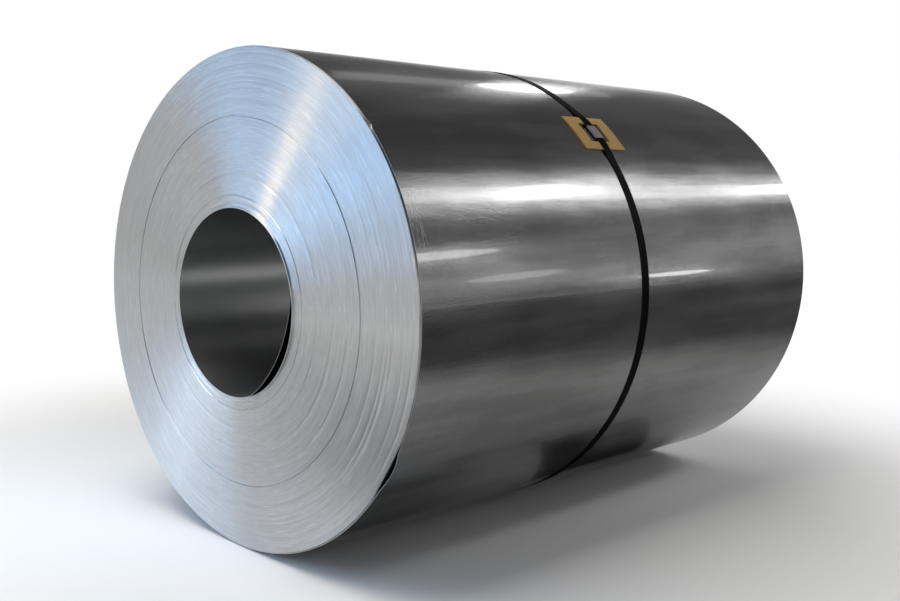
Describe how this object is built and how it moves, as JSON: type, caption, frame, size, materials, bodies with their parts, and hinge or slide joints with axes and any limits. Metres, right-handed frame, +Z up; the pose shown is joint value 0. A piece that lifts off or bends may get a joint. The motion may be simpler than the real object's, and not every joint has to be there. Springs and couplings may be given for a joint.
{
  "type": "steel coil",
  "caption": "Wound coil of cold rolled steel strip lying on its side, with an open eye, a black belly strap, a crimped seal and a fibreboard pad under the seal.",
  "frame": {"origin": "on the floor, under the middle of the coil's length", "axes": "+Z up, +Y along the coil's axis from its front end to its back end, +X to the right as seen from the front end"},
  "size_m": [1.3521, 1.855, 1.352],
  "materials": {
    "coil_steel": "satin",
    "strap_steel": "gloss",
    "seal_steel": "satin",
    "pad_board": "matte"
  },
  "bodies": {
    "root": {"coil": "coil_steel", "strap": "strap_steel", "strap_seal": "seal_steel", "seal_pad": "pad_board"}
  },
  "joints": []
}
